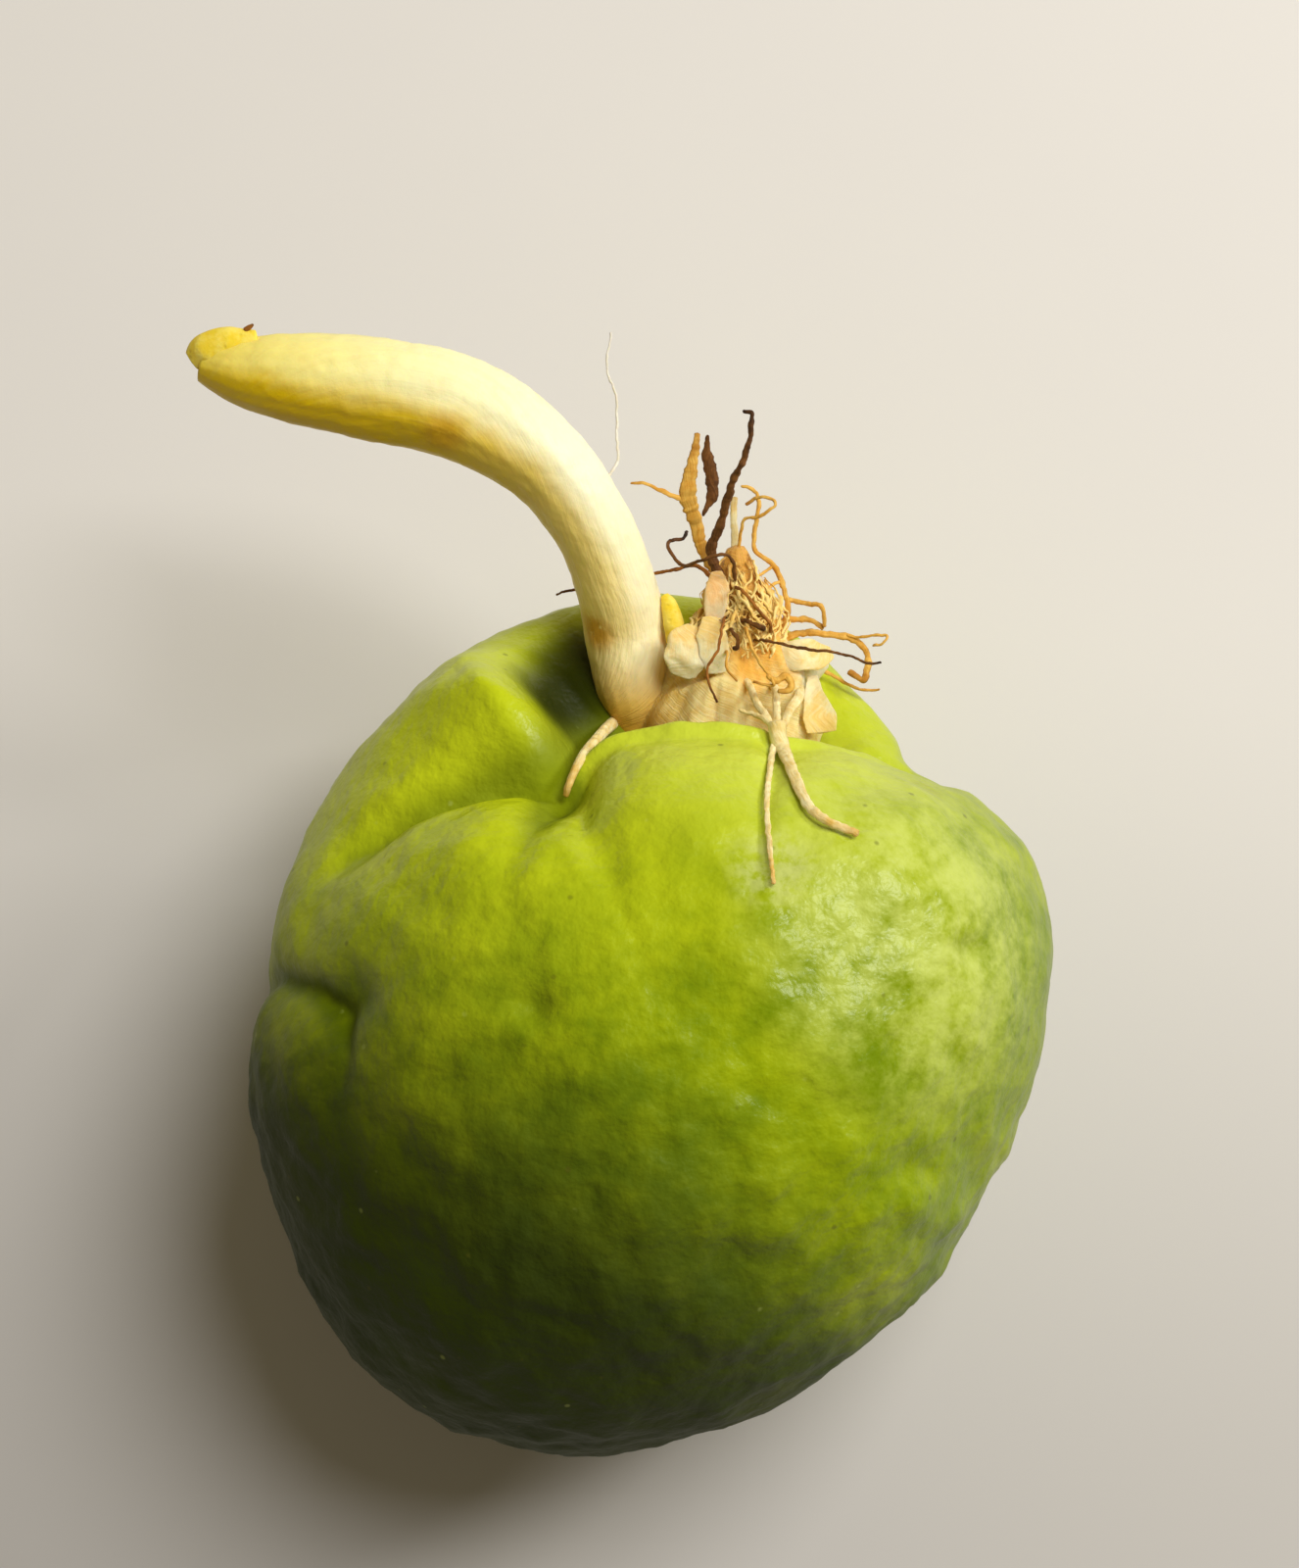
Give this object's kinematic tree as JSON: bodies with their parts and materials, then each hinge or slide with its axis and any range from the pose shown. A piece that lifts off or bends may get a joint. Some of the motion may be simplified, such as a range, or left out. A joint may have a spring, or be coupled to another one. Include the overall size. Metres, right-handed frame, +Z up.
{
  "type": "sprouted chayote",
  "caption": "Green chayote lying on its side, with one thick pale shoot and a tuft of dry roots growing from the seed at its mouth.",
  "frame": {"origin": "centre of the small flat spot on the skin that the fruit rests on", "axes": "+Z up, +Y from the stem end to the mouth where the seed sprouts, +X to the right with the mouth pointing away"},
  "size_m": [0.089, 0.1164, 0.0725],
  "materials": {
    "green_skin": "waxy green skin, mottled, orange-peel bump, satin gloss",
    "pale_flesh": "moist cream seed tissue with fine fibres",
    "shoot_skin": "smooth pale yellow shoot skin, faint lengthwise streaks",
    "bud_yellow": "soft yellow folded bud",
    "dry_tan": "dry tan root fibre",
    "dry_brown": "dry dark brown root fibre",
    "root_cream": "cream root, slightly waxy"
  },
  "bodies": {
    "root": {"fruit": "green_skin", "seed_crown": "pale_flesh", "shoot": "shoot_skin", "seed_fold": "pale_flesh", "seed_flap_right": "pale_flesh", "seed_flap_back": "pale_flesh", "crown_scale": "pale_flesh", "side_bud": "bud_yellow", "shoot_bud": "bud_yellow", "tip_scale": "dry_brown", "dry_twig": "dry_brown", "pale_sheath": "dry_tan", "dark_sheath": "dry_brown", "clear_sheath": "pale_flesh", "root_kinked": "dry_brown", "root_behind_shoot": "dry_tan", "root_hoop": "dry_tan", "root_loop": "dry_tan", "root_brown_line": "dry_tan", "root_dark_stub": "dry_brown", "root_hook": "dry_brown", "root_long_dark": "dry_brown", "root_fan": "dry_tan", "root_curl_low": "dry_tan", "root_hang_left": "dry_tan", "root_hang_mid": "dry_tan", "root_curl": "dry_tan", "shoot_thread": "root_cream", "front_roots": "root_cream", "left_root": "root_cream"}
  },
  "joints": []
}
